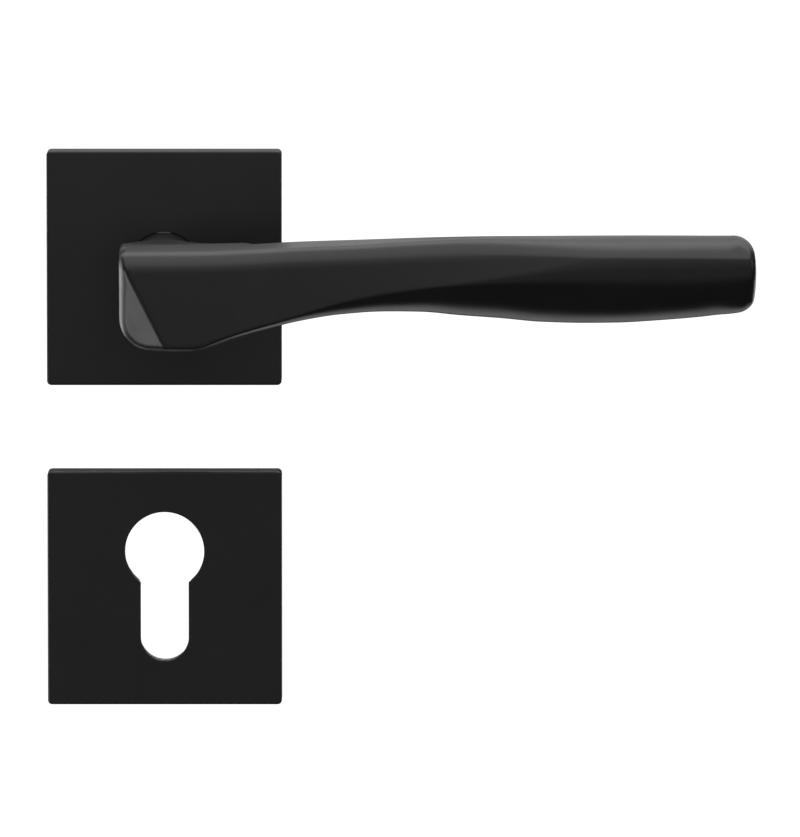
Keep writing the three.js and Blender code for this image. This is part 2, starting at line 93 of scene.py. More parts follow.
NECK_RADIUS = -LEVER[0]
NECK_SHOWN = NECK_RADIUS - 1.1
LEVER_TIP = LEVER[1]
LEVER_FRONT = LEVER[5]
HEAD_TOP = NECK_RADIUS
HEAD_LOW = LEVER[2]
PLATE_SIDE = ROSE[1] - ROSE[0]
PLATE_FRONT = ROSE[5]
PLATE_RIM = ROSE[4]
PLATE_CENTRE = (PLATE[2] + PLATE[3]) / 2


# ---------------------------------------------------------------- mesh helpers


def place(points):
    """View millimetres to frame metres."""
    points = np.asarray(points, float).reshape(-1, 3)
    return np.column_stack([points[:, 0], -points[:, 2], points[:, 1]]) * MM


def make_mesh(name, points, faces, smooth_angle=30.0):
    mesh = bpy.data.meshes.new(name)
    mesh.from_pydata(place(points).tolist(), [], faces)
    mesh.validate()
    obj = bpy.data.objects.new(name, mesh)
    scene.collection.objects.link(obj)
    outward(mesh)
    shade(obj, smooth_angle)
    return obj


def outward(mesh):
    bm = bmesh.new()
    bm.from_mesh(mesh)
    bmesh.ops.remove_doubles(bm, verts=bm.verts, dist=1e-7)
    bmesh.ops.recalc_face_normals(bm, faces=bm.faces)
    if bm.calc_volume(signed=True) < 0:
        bmesh.ops.reverse_faces(bm, faces=bm.faces)
    bm.to_mesh(mesh)
    bm.free()


def shade(obj, angle):
    mesh = obj.data
    mesh.shade_smooth()
    mesh.set_sharp_from_angle(angle=math.radians(angle))


def grid_faces(rows, count, closed_rows=False):
    faces = []
    for r in range(rows if closed_rows else rows - 1):
        a = r * count
        b = ((r + 1) % rows) * count
        for i in range(count):
            j = (i + 1) % count
            faces.append((a + i, a + j, b + j, b + i))
    return faces


# ---------------------------------------------------------------- lever

# Heights along the lever, as (x, y): rise of the top line over the head, lower line and front ridge
TOP_RISE = ((-9, -1.1), (8, -1.0), (19.5, -0.6), (30.4, 0.0), (61, 0.9), (95, 1.1), (124, 1.2))
LOW_LINE = (
    (-9, HEAD_LOW), (7.2, HEAD_LOW), (9.5, -14.35), (12, -13.4), (15.2, -12.2), (19.6, -10.8), (24, -9.6),
    (30.4, -8.1), (39, -6.8), (48, -6.3), (56.6, -6.5), (65.3, -7.4), (74, -8.15), (83, -9.05), (91.5, -9.3),
    (100, -9.2), (109, -8.7), (117.7, -8), (124.3, -7.15), (130, -6.2),
)
RIDGE_LINE = (
    (-9, -14.4), (7, -14.3), (11, -13.3), (15.2, -11.7), (20, -10), (27, -7.8), (39, -4.1), (48, -2.2),
    (57, -0.9), (65.5, 0), (83, 1.5), (100, 3.0), (118, 3.6), (130, 4.0),
)
# Depths along the lever, as (x, z)
LOW_EDGE_DEPTH = ((24, 51.3), (34, 50.6), (48, 49.2), (66, 47.4), (90, 46.2), (130, 46))
TOP_EDGE_DEPTH = ((30, 51.6), (60, 51), (90, 50), (130, 49))
BACK_DEPTH = ((12, 40.5), (40, 40.3), (70, 38.8), (100, 38), (130, 38.6))

HEAD_BACK = 40.5
NECK_STRAIGHT = 23.0
ELBOW_RADIUS = HEAD_BACK - NECK_STRAIGHT
HEAD_CORNER_LOW = 7.0
HEAD_CORNER_TOP = 1.0
TIP_CORNER_TOP = 4.0
TIP_CORNER_LOW = 2.7
FACET_TOP = (-8.6, 6.0)
FACET_FOOT = (1.3, HEAD_LOW)
FACET_SLOPE = 0.76
FACET_HOLLOW = 0.022
FACET_REACH = 12
FACET_EDGE = 0.12
TOP_TILT = 0.14
BEVEL_FOOT = 5.9
BEVEL_OUT = 1.05
BEVEL_LIFT = 1.3
BEVEL_EDGE = 0.25
TIP_BOW = 0.012
TIP_BOW_MIDDLE = 1.5
TIP_MIDDLE = 1
RIDGE_STEP = 0.7

# Radii of the rounded edges, and how much each grows towards the grip
RIDGE_EDGE, RIDGE_EDGE_GROWTH = 0.2, 4.0
LOW_EDGE, LOW_EDGE_GROWTH = 1.5, 3.6
TOP_EDGE, TOP_EDGE_GROWTH = 3.8, 1.0
BACK_EDGE, BACK_EDGE_GROWTH = 2.2, 3.0
LEFT_EDGE = 1.7
TIP_EDGE = 1.9
BEVELLED_EDGE, BEVELLED_EDGE_TRIM = 4.8, 1.3
WEB_EDGE = (0.02, 6.0)
WEB_SOFTNESS = 0.55

# Where one shape fades into the next, as starts and ends along x, or along y for the upper edge
GRIP_FADE = (25, 85)
HEAD_FADE = (40, 75)
RIDGE_FADE = (60, 125)
BEVEL_FADE = (62, 104)
TIP_FADE = (119, 129.2)
LEFT_FADE = (-NECK_RADIUS + 2.0, -NECK_RADIUS + 4.0)
UPPER_FADE = (-3, 4)
HEAD_END = 60

# Section planes of the lever's mesh: where they start, how many there are and where their rays start
NECK_BACK = PLATE_FRONT - 2.05
NECK_SUNK = 3
NECK_SECTIONS, ELBOW_SECTIONS = 14, 130
ARM_STEP = 0.6
TIP_ROOM = 6.0
ELBOW_MIDDLE, ARM_MIDDLE = 46.2, 45.6
ELBOW_PUSH, ELBOW_SINK = 5, 2.6
RAYS = 480
SECTION_POINTS = 176
TIP_RINGS = 34


def smooth_curve(points, soften=5.0):
    """A dense table of a curve that never overshoots its points, averaged over a short run to soften it."""
    x, y = np.array(points, float).T
    slope = np.diff(y) / np.diff(x)
    tangent = np.zeros(len(x))
    inner = slope[:-1] * slope[1:] > 0
    tangent[1:-1][inner] = 2 * slope[:-1][inner] * slope[1:][inner] / (slope[:-1] + slope[1:])[inner]
    xs = np.linspace(x[0], x[-1], 1200)
    i = np.clip(np.searchsorted(x, xs, side="right") - 1, 0, len(x) - 2)
    w = x[i + 1] - x[i]
    t = (xs - x[i]) / w
    ys = (1 + 2 * t) * (1 - t) ** 2 * y[i] + t**2 * (3 - 2 * t) * y[i + 1]
    ys += t * (1 - t) * w * ((1 - t) * tangent[i] - t * tangent[i + 1])
    half = int(soften / (xs[1] - xs[0]) / 2)
    soft = np.convolve(np.pad(ys, half, mode="edge"), np.ones(2 * half + 1) / (2 * half + 1), mode="valid")
    return xs, soft


CURVES = {
    "rise": smooth_curve(TOP_RISE),
    "low": smooth_curve(LOW_LINE, 2.4),
    "ridge": smooth_curve(RIDGE_LINE),
    "low_depth": smooth_curve(LOW_EDGE_DEPTH),
    "top_depth": smooth_curve(TOP_EDGE_DEPTH),
    "back": smooth_curve(BACK_DEPTH),
}


def curve(name, x):
    xs, ys = CURVES[name]
    return np.interp(x, xs, ys)


def ramp(x, start, end):
    t = np.clip((x - start) / (end - start), 0, 1)
    return t * t * (3 - 2 * t)


def round_max(a, b, radius):
    """The larger of two distances, with the edge between them rounded."""
    reach = np.hypot(np.maximum(a + radius, 0), np.maximum(b + radius, 0))
    return np.minimum(np.maximum(a, b), -radius) + reach


def arm_field(x, y, z):
    """Distance-like field of head and arm: negative inside."""
    top = HEAD_TOP + curve("rise", x)
    low = curve("low", x)
    ridge = np.maximum(curve("ridge", x), low + RIDGE_STEP)
    low_depth = np.minimum(curve("low_depth", x), LEVER_FRONT - RIDGE_STEP)
    top_depth = curve("top_depth", x)
    grip = ramp(x, *GRIP_FADE)
    past_head = ramp(x, *HEAD_FADE)

    rise_y, rise_z = ridge - low, LEVER_FRONT - low_depth
    length = np.hypot(rise_y, rise_z)
    under = (-(y - ridge) * rise_z + (z - LEVER_FRONT) * rise_y) / length
    rise_y, rise_z = top - ridge, LEVER_FRONT - top_depth
    length = np.hypot(rise_y, rise_z)
    upper = ((y - ridge) * rise_z + (z - LEVER_FRONT) * rise_y) / length
    front = round_max(under, upper, RIDGE_EDGE + RIDGE_EDGE_GROWTH * ramp(x, *RIDGE_FADE))
    bevel = ((y - BEVEL_FOOT) * BEVEL_OUT + z - curve("top_depth", x) - BEVEL_LIFT) / math.hypot(1, BEVEL_OUT)
    bevelled = round_max(front, bevel, BEVEL_EDGE)

    edge = np.array(FACET_FOOT) - np.array(FACET_TOP)
    edge = edge / np.hypot(*edge)
    across = (x - FACET_TOP[0]) * edge[1] - (y - FACET_TOP[1]) * edge[0]
    hollow = FACET_SLOPE * across - FACET_HOLLOW * np.clip(across, 0, FACET_REACH) ** 2
    facet = (z - LEVER_FRONT + hollow) / math.hypot(1, FACET_SLOPE)
    front = round_max(front, facet, FACET_EDGE)

    ends = np.maximum(-NECK_RADIUS - x, x - LEVER_TIP + TIP_BOW * (y - TIP_BOW_MIDDLE) ** 2)
    crown = y - top + TOP_TILT * (1 - past_head) * np.maximum(z - HEAD_BACK, 0)
    sides = np.maximum(crown, low - y)
    corner = np.where(
        x < HEAD_END,
        np.where(y < 0, HEAD_CORNER_LOW, HEAD_CORNER_TOP),
        np.where(y < TIP_MIDDLE, TIP_CORNER_LOW, TIP_CORNER_TOP),
    )
    rim = round_max(ends, sides, corner)

    upper_edge = ramp(y, *UPPER_FADE)
    edge_radius = (LOW_EDGE + LOW_EDGE_GROWTH * grip) * (1 - upper_edge)
    edge_radius = edge_radius + (TOP_EDGE + TOP_EDGE_GROWTH * past_head) * upper_edge
    left = 1 - ramp(x, *LEFT_FADE)
    edge_radius = edge_radius + (LEFT_EDGE - edge_radius) * left * (1 - upper_edge)
    edge_radius = edge_radius + (TIP_EDGE - edge_radius) * ramp(x, *TIP_FADE)
    top_band = round_max(round_max(front, crown, edge_radius), ends, LEFT_EDGE)
    face = np.where((y > 0) & (x < HEAD_END), top_band, round_max(front, rim, edge_radius))
    crisp = ramp(x, *BEVEL_FADE)
    crisp_radius = np.minimum(edge_radius, BEVELLED_EDGE - BEVELLED_EDGE_TRIM * upper_edge)
    face = face * (1 - crisp) + round_max(bevelled, rim, crisp_radius) * crisp
    behind = round_max(curve("back", x) - z, rim, BACK_EDGE + BACK_EDGE_GROWTH * grip)
    return np.maximum(face, behind), rim


def neck_field(x, y, z, rim):
    """The round neck, which opens out into the elbow behind the head."""
    rise = np.clip(z - NECK_STRAIGHT, 0, ELBOW_RADIUS)
    flare = ELBOW_RADIUS - np.sqrt(ELBOW_RADIUS**2 - rise**2)
    soft = np.clip(WEB_SOFTNESS * flare, *WEB_EDGE)
    bulge = round_max(np.hypot(x, y) - NECK_SHOWN - flare, rim, soft)
    return np.maximum(bulge, z - HEAD_BACK - NECK_SUNK)


def lever_field(x, y, z):
    arm, rim = arm_field(x, y, z)
    return np.minimum(arm, neck_field(x, y, z, rim))


def cast(origins, directions, reach=60.0, steps=26):
    """Where rays from inside the lever leave it."""
    near = np.zeros(len(origins))
    far = np.full(len(origins), reach)
    for _ in range(steps):
        middle = (near + far) / 2
        inside = lever_field(*(origins + directions * middle[:, None]).T) < 0
        near = np.where(inside, middle, near)
        far = np.where(inside, far, middle)
    return origins + directions * near[:, None]


def lever_stations():
    """(centre, outward direction) of each section plane, from the rose round the elbow to the grip's end."""
    pivot_x = NECK_RADIUS + ELBOW_RADIUS
    stations = []
    for z in np.linspace(NECK_BACK, NECK_STRAIGHT, NECK_SECTIONS)[:-1]:
        stations.append(((0, 0, z), (-1, 0, 0)))
    arm_centre = ELBOW_MIDDLE - NECK_STRAIGHT
    for phi in np.linspace(0, math.pi / 2, ELBOW_SECTIONS):
        reach = pivot_x * math.cos(phi) ** 2 + arm_centre * math.sin(phi) ** 2
        reach += ELBOW_PUSH * math.sin(2 * phi)
        out = (-math.cos(phi), 0, math.sin(phi))
        centre = (pivot_x + reach * out[0], -ELBOW_SINK * math.sin(2 * phi), NECK_STRAIGHT + reach * out[2])
        stations.append((centre, out))
    for x in np.arange(pivot_x + ARM_STEP, LEVER_TIP - TIP_ROOM, ARM_STEP):
        middle = (HEAD_TOP + curve("rise", x) + curve("low", x)) / 2
        stations.append(((x, middle, ARM_MIDDLE), (0, 0, 1)))
    return stations


def even_ring(ring, count):
    """The same closed ring with its points spread evenly along it, from its first point."""
    closed = np.vstack([ring, ring[:1]])
    run = np.concatenate([[0], np.cumsum(np.linalg.norm(np.diff(closed, axis=0), axis=1))])
    at = np.linspace(0, run[-1], count, endpoint=False)
    return np.column_stack([np.interp(at, run, closed[:, k]) for k in range(3)])


def build_lever():
    angles = np.linspace(0, 2 * math.pi, RAYS, endpoint=False) + math.pi
    up = np.array([0, 1.0, 0])
    rings = []
    for centre, out in lever_stations():
        out = np.array(out)
        directions = np.cos(angles)[:, None] * out + np.sin(angles)[:, None] * up
        ring = cast(np.tile(np.array(centre, float), (len(angles), 1)), directions)
        rings.append(even_ring(ring, SECTION_POINTS))
    # the tip closes as a fan of rings around its middle
    middle = np.array(centre, float)
    arc = even_ring(ring, SECTION_POINTS) - middle
    flat = arc / np.linalg.norm(arc, axis=1)[:, None]
    for tilt in np.linspace(0, math.pi / 2, TIP_RINGS)[1:-1]:
        directions = flat * math.cos(tilt) + np.array([math.sin(tilt), 0, 0])
        rings.append(cast(np.tile(middle, (SECTION_POINTS, 1)), directions))
    tip = cast(middle[None], np.array([[1.0, 0, 0]]))
    points = np.vstack(rings + [tip, np.array([[0, 0, NECK_BACK]])])
    faces = grid_faces(len(rings), SECTION_POINTS)
    last = (len(rings) - 1) * SECTION_POINTS
    tip_at = len(points) - 2
    for i in range(SECTION_POINTS):
        j = (i + 1) % SECTION_POINTS
        faces.append((last + i, last + j, tip_at))
        faces.append((j, i, tip_at + 1))
    return make_mesh("lever_casting", points, faces, 40)


# ---------------------------------------------------------------- square covers

PROFILE_RADIUS = 8.75
PROFILE_SLOT = 10.6
PROFILE_HEIGHT = 33.2
PROFILE_UP = 8.2
COVER_WALL = 1.5
COVER_CORNER = 1.0
COVER_EDGE = 0.45
HOLE_EDGE = 0.15
NECK_HOLE = NECK_SHOWN + 0.15


def arc(cx, cy, radius, start, end, count):
    angles = np.radians(np.linspace(start, end, count))
    return np.column_stack([cx + radius * np.cos(angles), cy + radius * np.sin(angles)])


def square_outline(inset):
    half = PLATE_SIDE / 2 - inset
    radius = max(COVER_CORNER - inset, 0.15)
    centres = ((1, -1, -90), (1, 1, 0), (-1, 1, 90), (-1, -1, 180))
    corners = [arc(sx * (half - radius), sy * (half - radius), radius, a, a + 90, 9) for sx, sy, a in centres]
    return np.vstack(corners)


def round_outline(grow):
    return arc(0, 0, NECK_HOLE + grow, -180, 180, 145)[:-1]


def profile_outline(grow):
    """The euro-profile opening, grown by a margin, in the escutcheon's own middle."""
    radius = PROFILE_RADIUS + grow
    half = PROFILE_SLOT / 2 + grow
    meet = math.degrees(math.asin(half / radius))
    foot = PROFILE_RADIUS - PROFILE_HEIGHT - grow + half
    ring = arc(0, 0, radius, -90 + meet, 270 - meet, 97)
    tail = arc(0, foot, half, 180, 360, 41)
    return np.vstack([ring, tail]) + [0, PROFILE_UP]


def at_angles(outline, centre, angles):
    """Where rays from a centre cross a star-shaped outline."""
    rel = outline - centre
    start, end = rel, np.roll(rel, -1, axis=0)
    found = []
    for angle in angles:
        d = np.array([math.cos(angle), math.sin(angle)])
        side_a = start[:, 0] * d[1] - start[:, 1] * d[0]
        side_b = end[:, 0] * d[1] - end[:, 1] * d[0]
        hit = (side_a >= 0) & (side_b < 0) | (side_a > 0) & (side_b <= 0) | (side_a <= 0) & (side_b > 0)
        span = np.where(np.abs(side_a - side_b) < 1e-12, 1, side_a - side_b)
        t = side_a / span
        p = start + t[:, None] * (end - start)
        reach = p @ d
        reach = np.where(hit & (reach > 0), reach, np.inf)
        k = int(np.argmin(reach))
        found.append(centre + p[k])
    return np.array(found)


def build_cover(name, hole_outline, centre, offset_y):
    """A square pressed cover: front, rounded edges, walls, rim, and the hole with its own edge."""
    centre = np.array(centre, float)
    corner_angles = [math.atan2(*(p - centre)[::-1]) for p in square_outline(0)]
    hole_angles = [math.atan2(*(p - centre)[::-1]) for p in hole_outline(0)]
    angles = np.array(sorted(set(np.round(corner_angles + hole_angles, 6))))
    loops = []

    def loop(outline, z):
        ring = at_angles(outline, centre, angles)
        loops.append(np.column_stack([ring[:, 0], ring[:, 1] + offset_y, np.full(len(ring), z)]))

    front, inner = PLATE_FRONT, PLATE_FRONT - COVER_WALL
    loop(hole_outline(0.05), inner)
    loop(hole_outline(0), inner + 0.1)
    for turn in np.radians(np.linspace(0, 90, 5)):
        loop(hole_outline(HOLE_EDGE * (1 - math.cos(turn))), front - HOLE_EDGE * (1 - math.sin(turn)))
    loop(hole_outline(HOLE_EDGE + 0.15), front)
    loop(square_outline(COVER_EDGE + 0.15), front)
    for turn in np.radians(np.linspace(0, 90, 6)):
        loop(square_outline(COVER_EDGE * (1 - math.sin(turn))), front - COVER_EDGE * (1 - math.cos(turn)))
    loop(square_outline(0), front - COVER_EDGE - 0.15)
    loop(square_outline(0), PLATE_RIM + 0.2)
    loop(square_outline(0.06), PLATE_RIM + 0.05)
    loop(square_outline(0.2), PLATE_RIM)
    loop(square_outline(COVER_WALL - 0.1), PLATE_RIM)
    loop(square_outline(COVER_WALL), PLATE_RIM + 0.1)
    loop(square_outline(COVER_WALL), inner - 0.3)
    loop(square_outline(COVER_WALL + 0.3), inner)
    loop(square_outline(COVER_WALL + 0.6), inner)
    loop(hole_outline(0.3), inner)
    points = np.vstack(loops)
    return make_mesh(name, points, grid_faces(len(loops), len(angles), closed_rows=True), 40)


# ---------------------------------------------------------------- wire and threads


def soften_corners(path, times=3):
    """Cuts the corners of a path, so that bent wire turns smoothly."""
    path = np.asarray(path, float)
    for _ in range(times):
        quarter = path[:-1] * 0.75 + path[1:] * 0.25
        rest = path[:-1] * 0.25 + path[1:] * 0.75
        inner = np.column_stack([quarter, rest]).reshape(-1, 3)
        path = np.vstack([path[:1], inner, path[-1:]])
    return path


def sweep(name, path, section, smooth_angle=40.0):
    """A closed tube: the section runs along the path, its first axis away from the turn's axis."""
    ahead = np.gradient(path, axis=0)
    ahead /= np.linalg.norm(ahead, axis=1)[:, None]
    side = np.cross(ahead, [0, 0, 1.0])
    side /= np.linalg.norm(side, axis=1)[:, None]
    over = np.cross(side, ahead)
    rings = [p + np.outer(section[:, 0], s) + np.outer(section[:, 1], o) for p, s, o in zip(path, side, over)]
    count = len(section)
    points = np.vstack(rings + [path[:1], path[-1:]])
    faces = grid_faces(len(rings), count)
    last = (len(rings) - 1) * count
    first_cap, last_cap = len(points) - 2, len(points) - 1
    for i in range(count):
        j = (i + 1) % count
        faces.append((j, i, first_cap))
        faces.append((last + i, last + j, last_cap))
    return make_mesh(name, points, faces, smooth_angle)


WIRE_RADIUS = 0.6
COIL_RADIUS = 13.2
COIL_TURN = 576.0
SPRING_FIXED_Z, SPRING_MOVING_Z = 3.1, 5.2
SPRING_LEG_OUT, SPRING_LEG_IN = 17.0, 10.4
LEG_BEND_OUT, LEG_BEND_IN = 15.4, 11.8
COIL_STEPS = 120

# Each thread: core radius, ridge height, where it starts and ends on the screw, pitch, and how the tip tapers
WOOD_THREAD = {"core": 1.7, "depth": 0.42, "start": 5.2, "end": 0.8, "pitch": 1.5, "fade": 4.5}
BOLT_THREAD = {"core": 1.95, "depth": 0.2, "start": 11.4, "end": 22.3, "pitch": 0.7, "fade": 0.01}
THREAD_STEPS = 20
THREAD_TIP = 0.25
RIDGE_FOOT, RIDGE_SINK, RIDGE_CREST = 0.32, 0.15, 0.04


def polar(radius, angle, z):
    return (radius * math.cos(math.radians(angle)), radius * math.sin(math.radians(angle)), z)


def build_spring():
    path = [polar(SPRING_LEG_OUT, COIL_TURN, SPRING_FIXED_Z), polar(LEG_BEND_OUT, COIL_TURN, SPRING_FIXED_Z)]
    for share in np.linspace(0, 1, COIL_STEPS):
        z = SPRING_FIXED_Z + share * (SPRING_MOVING_Z - SPRING_FIXED_Z)
        path.append(polar(COIL_RADIUS, COIL_TURN * (1 - share), z))
    path += [polar(LEG_BEND_IN, 0, SPRING_MOVING_Z), polar(SPRING_LEG_IN, 0, SPRING_MOVING_Z)]
    section = arc(0, 0, WIRE_RADIUS, 0, 360, 15)[:-1]
    return sweep("torsion_spring", soften_corners(path, 2), section)


def build_thread(name, node, core, depth, start, end, pitch, fade):
    """A helical ridge wound round a screw's shank."""
    x0, x1, y0, y1, z0, z1 = view_box(node)
    middle = ((x0 + x1) / 2, (y0 + y1) / 2)
    turns = (z1 - start - (z0 + end)) / pitch
    path = []
    for share in np.linspace(0, 1, int(turns * THREAD_STEPS)):
        angle = 360 * turns * share
        z = z1 - start - share * pitch * turns
        radius = core * min(1.0, THREAD_TIP + (z - z0) / fade)
        x, y, _ = polar(radius, -angle, z)
        path.append((middle[0] + x, middle[1] + y, z))
    foot = RIDGE_FOOT * pitch
    crest = RIDGE_CREST
    section = np.array([(RIDGE_SINK, -foot), (-depth, -crest), (-depth, crest), (RIDGE_SINK, foot)])
    return sweep(name, np.array(path), section, 30)


# ---------------------------------------------------------------- turned pieces

# The sleeve, measured from its outer ends: wall and bore, and how its head flares
SLEEVE_HEAD_OUT = 0.9
SLEEVE_BORE, SLEEVE_BORE_DEPTH, DRILL_DEPTH = 2.2, 23.2, 24
SLEEVE_SLOT, SLOT_REACH = 1, 9
# The lever's bearing: its radius and end, the ring's groove, the spindle's socket, and the collar in front
JOURNAL_RADIUS, JOURNAL_END = 7.0, -2.0
GROOVE_RADIUS, GROOVE_FRONT, GROOVE_BACK = 6.27, 0.15, -0.55
SOCKET_HALF = 4.1
COLLAR_RADIUS, COLLAR_DEPTH = 8.9, 0.35


def turned(name, middle, profile, sides=64):
    """A solid of revolution about the door's normal; the profile runs from axis to axis as (radius, z)."""
    angles = np.linspace(0, 2 * math.pi, sides, endpoint=False)
    ring = np.column_stack([np.cos(angles), np.sin(angles)])
    rows = [np.column_stack([middle + ring * r, np.full(sides, z)]) for r, z in profile[1:-1]]
    ends = [[middle[0], middle[1], z] for z in (profile[0][1], profile[-1][1])]
    points = np.vstack(rows + [ends])
    faces = grid_faces(len(rows), sides)
    last = (len(rows) - 1) * sides
    for i in range(sides):
        j = (i + 1) % sides
        faces.append((j, i, len(points) - 2))
        faces.append((last + i, last + j, len(points) - 1))
    return make_mesh(name, points, faces, 35)


def cut_slot(obj, low, high):
    """Takes a box out of a piece, for instance a screwdriver slot."""
    corners = [(x, y, z) for x in (low[0], high[0]) for y in (low[1], high[1]) for z in (low[2], high[2])]
    quads = [(0, 1, 3, 2), (4, 6, 7, 5), (0, 4, 5, 1), (2, 3, 7, 6), (0, 2, 6, 4), (1, 5, 7, 3)]
    cutter = make_mesh("cutter", corners, quads)
    modifier = obj.modifiers.new("slot", "BOOLEAN")
    modifier.operation = "DIFFERENCE"
    modifier.object = cutter
    evaluated = obj.evaluated_get(bpy.context.evaluated_depsgraph_get())
    mesh = bpy.data.meshes.new_from_object(evaluated)
    obj.modifiers.clear()
    obj.data = mesh
    bpy.data.objects.remove(cutter)
    shade(obj, 35)


def build_sleeve(node):
    """The long slotted nut that takes the bolt from the door's far side."""
    x0, x1, y0, y1, z0, z1 = view_box(node)
    middle = np.array([(x0 + x1) / 2, (y0 + y1) / 2])
    head = (x1 - x0) / 2
    radius, bore, soft = head - SLEEVE_HEAD_OUT, SLEEVE_BORE, 0.2
    profile = [(0, z1 - DRILL_DEPTH), (bore, z1 - SLEEVE_BORE_DEPTH), (bore, z1 - soft), (bore + soft, z1)]
    profile += [(radius - 0.3, z1), (radius, z1 - 0.3), (radius, z0 + 1.75), (radius + 0.1, z0 + 1.55)]
    profile += [(head - 0.1, z0 + 0.7)]
    profile += [(head, z0 + 0.55), (head, z0 + soft), (head - 0.06, z0 + 0.06), (head - soft, z0), (0, z0)]
    sleeve = turned(node + "_turned", middle, profile)
    half = SLEEVE_SLOT / 2
    low = (middle[0] - SLOT_REACH, middle[1] - half, z0 - 1)
    high = (middle[0] + SLOT_REACH, middle[1] + half, z0 + 1)
    cut_slot(sleeve, low, high)
    return sleeve


def build_journal():
    """The neck's collar behind the rose's cover, and the grooved bearing that turns in the bush."""
    back, bearing, end = NECK_BACK, JOURNAL_RADIUS, JOURNAL_END
    front = back + COLLAR_DEPTH
    collar = [(0, front + 0.01), (COLLAR_RADIUS - 0.1, front), (COLLAR_RADIUS, front - 0.1)]
    collar += [(COLLAR_RADIUS, back + 0.03), (COLLAR_RADIUS - 0.05, back), (0, back)]
    shaft = [(0, back + 0.5), (bearing, back + 0.5), (bearing, GROOVE_FRONT)]
    shaft += [(GROOVE_RADIUS, GROOVE_FRONT - 0.01), (GROOVE_RADIUS, GROOVE_BACK + 0.01)]
    shaft += [(bearing, GROOVE_BACK), (bearing, end + 0.4), (bearing - 0.4, end), (0, end)]
    journal = turned("lever_journal", np.zeros(2), shaft)
    cut_slot(journal, (-SOCKET_HALF, -SOCKET_HALF, end - 1), (SOCKET_HALF, SOCKET_HALF, back - 1))
    return turned("neck_collar", np.zeros(2), collar), journal


# ---------------------------------------------------------------- materials


def new_material(name):
    material = bpy.data.materials.new(name)
    material.use_nodes = True
    tree = material.node_tree
    shader = next(n for n in tree.nodes if n.type == "BSDF_PRINCIPLED")
    return material, tree, shader


def noise(tree, scale, detail=2.0, rough=0.5, stretch=None):
    coordinates = tree.nodes.new("ShaderNodeTexCoord")
    source = coordinates.outputs["Object"]
    if stretch:
        mapping = tree.nodes.new("ShaderNodeMapping")
        mapping.inputs["Scale"].default_value = stretch
        tree.links.new(source, mapping.inputs["Vector"])
        source = mapping.outputs["Vector"]
    texture = tree.nodes.new("ShaderNodeTexNoise")
    texture.inputs["Scale"].default_value = scale
    texture.inputs["Detail"].default_value = detail
    texture.inputs["Roughness"].default_value = rough
    tree.links.new(source, texture.inputs["Vector"])
    return texture.outputs["Fac"]


def spread(tree, value, low, high, start=0.0, end=1.0):
    node = tree.nodes.new("ShaderNodeMapRange")
    node.inputs["From Min"].default_value = start
    node.inputs["From Max"].default_value = end
    node.inputs["To Min"].default_value = low
    node.inputs["To Max"].default_value = high
    tree.links.new(value, node.inputs["Value"])
    return node.outputs["Result"]


def add(tree, a, b):
    node = tree.nodes.new("ShaderNodeMath")
    node.operation = "ADD"
    tree.links.new(a, node.inputs[0])
    tree.links.new(b, node.inputs[1])
    return node.outputs[0]


def mix_colour(tree, factor, a, b):
    node = tree.nodes.new("ShaderNodeMix")
    node.data_type = "RGBA"
    node.inputs["A"].default_value = (*a, 1)
    node.inputs["B"].default_value = (*b, 1)
    tree.links.new(factor, node.inputs["Factor"])
    return node.outputs["Result"]


def bump(tree, shader, height, strength, distance):
    node = tree.nodes.new("ShaderNodeBump")
    node.inputs["Strength"].default_value = strength
    node.inputs["Distance"].default_value = distance
    tree.links.new(height, node.inputs["Height"])
    tree.links.new(node.outputs["Normal"], shader.inputs["Normal"])


def edge_mask(tree, radius, start, end):
    """Bright only along edges: how far the softened normal leans away from the surface normal."""
    bevel = tree.nodes.new("ShaderNodeBevel")
    bevel.samples = 4
    bevel.inputs["Radius"].default_value = radius
    geometry = tree.nodes.new("ShaderNodeNewGeometry")
    dot = tree.nodes.new("ShaderNodeVectorMath")
    dot.operation = "DOT_PRODUCT"
    tree.links.new(bevel.outputs["Normal"], dot.inputs[0])
    tree.links.new(geometry.outputs["Normal"], dot.inputs[1])
    return spread(tree, dot.outputs["Value"], 0, 1, start, end)


def coated_material():
    """Satin black powder coat: fine grain, faint cloudiness, and a painted highlight that makes the edges a
    little brighter.
    """
    material, tree, shader = new_material("satin_black_coat")
    cloud = noise(tree, 55, 3, 0.55)
    grain = noise(tree, 3600, 2, 0.6)
    edge = edge_mask(tree, 0.0005, 0.985, 0.90)
    dark, light = (0.0118, 0.0116, 0.0120), (0.0146, 0.0144, 0.0148)
    colour = mix_colour(tree, spread(tree, cloud, 0, 1, 0.3, 0.7), dark, light)
    # painted highlight: the base colour is made lighter along every edge, standing in for light catching the
    # rounded edges
    edge_highlight = tree.nodes.new("ShaderNodeMix")
    edge_highlight.data_type = "RGBA"
    edge_highlight.inputs["B"].default_value = (0.03, 0.03, 0.031, 1)
    tree.links.new(edge, edge_highlight.inputs["Factor"])
    tree.links.new(colour, edge_highlight.inputs["A"])
    tree.links.new(edge_highlight.outputs["Result"], shader.inputs["Base Color"])
    handled = spread(tree, noise(tree, 140, 4, 0.6), -0.03, 0.03, 0.3, 0.7)
    tree.links.new(add(tree, handled, spread(tree, grain, 0.31, 0.36, 0.3, 0.7)), shader.inputs["Roughness"])
    shader.inputs["Specular IOR Level"].default_value = 0.5
    bump(tree, shader, grain, 0.08, 0.00003)
    return material


def grained_material(name, dark, light, roughness, grain_scale, stretch=None, metallic=1.0, strength=0.15):
    material, tree, shader = new_material(name)
    cloud = spread(tree, noise(tree, 180, 3, 0.6), 0, 1, 0.3, 0.7)
    tree.links.new(mix_colour(tree, cloud, dark, light), shader.inputs["Base Color"])
    grain = noise(tree, grain_scale, 3, 0.6, stretch)
    polish = spread(tree, grain, roughness - 0.03, roughness + 0.04, 0.3, 0.7)
    tree.links.new(polish, shader.inputs["Roughness"])
    shader.inputs["Metallic"].default_value = metallic
    bump(tree, shader, grain, strength, 0.00001)
    return material


